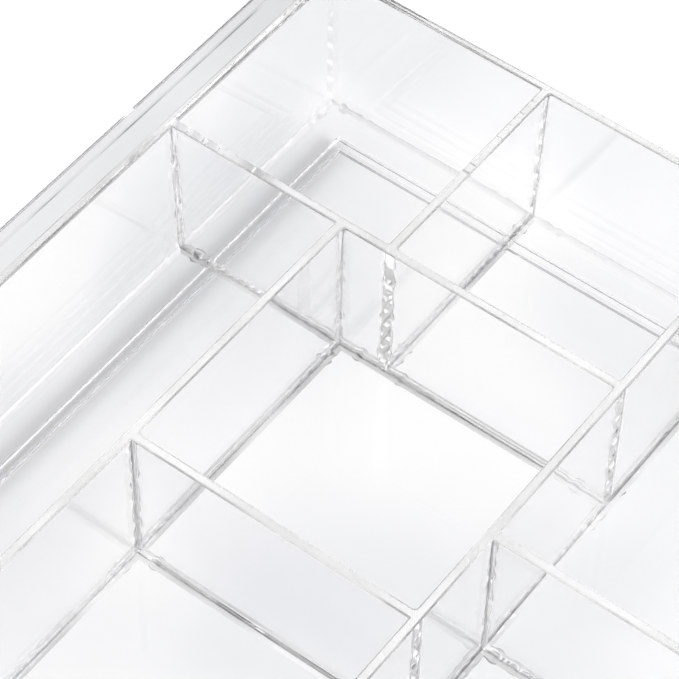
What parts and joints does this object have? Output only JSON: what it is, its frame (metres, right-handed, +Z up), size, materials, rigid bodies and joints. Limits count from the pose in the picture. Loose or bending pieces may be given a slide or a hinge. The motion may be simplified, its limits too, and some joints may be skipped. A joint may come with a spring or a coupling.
{
  "type": "drawer organizer tray",
  "caption": "Shallow clear acrylic drawer organizer tray with leaning walls, fixed staggered dividers, side lift lips and foot rails, for sorting small vanity items.",
  "frame": {"origin": "under the middle of the tray, on the surface that it stands on", "axes": "+Z up, +Y along the tray's length towards the back wall, +X along its width towards the right wall"},
  "size_m": [0.2264, 0.3044, 0.0523],
  "materials": {
    "panel_acrylic": "clear polished acrylic, colourless with a faint warm-grey edge",
    "floor_acrylic": "clear polished acrylic floor sheet and foot rails"
  },
  "bodies": {
    "root": {"base_panel": "floor_acrylic", "left_wall": "panel_acrylic", "right_wall": "panel_acrylic", "front_wall": "panel_acrylic", "back_wall": "panel_acrylic", "long_divider": "panel_acrylic", "rear_divider": "panel_acrylic", "side_divider": "panel_acrylic", "cross_divider": "panel_acrylic", "middle_divider": "panel_acrylic", "right_divider": "panel_acrylic", "lift_lip_left": "panel_acrylic", "lift_lip_right": "panel_acrylic", "foot_rail_left": "floor_acrylic", "foot_rail_right": "floor_acrylic", "foot_rail_front": "floor_acrylic", "foot_rail_back": "floor_acrylic"}
  },
  "joints": []
}
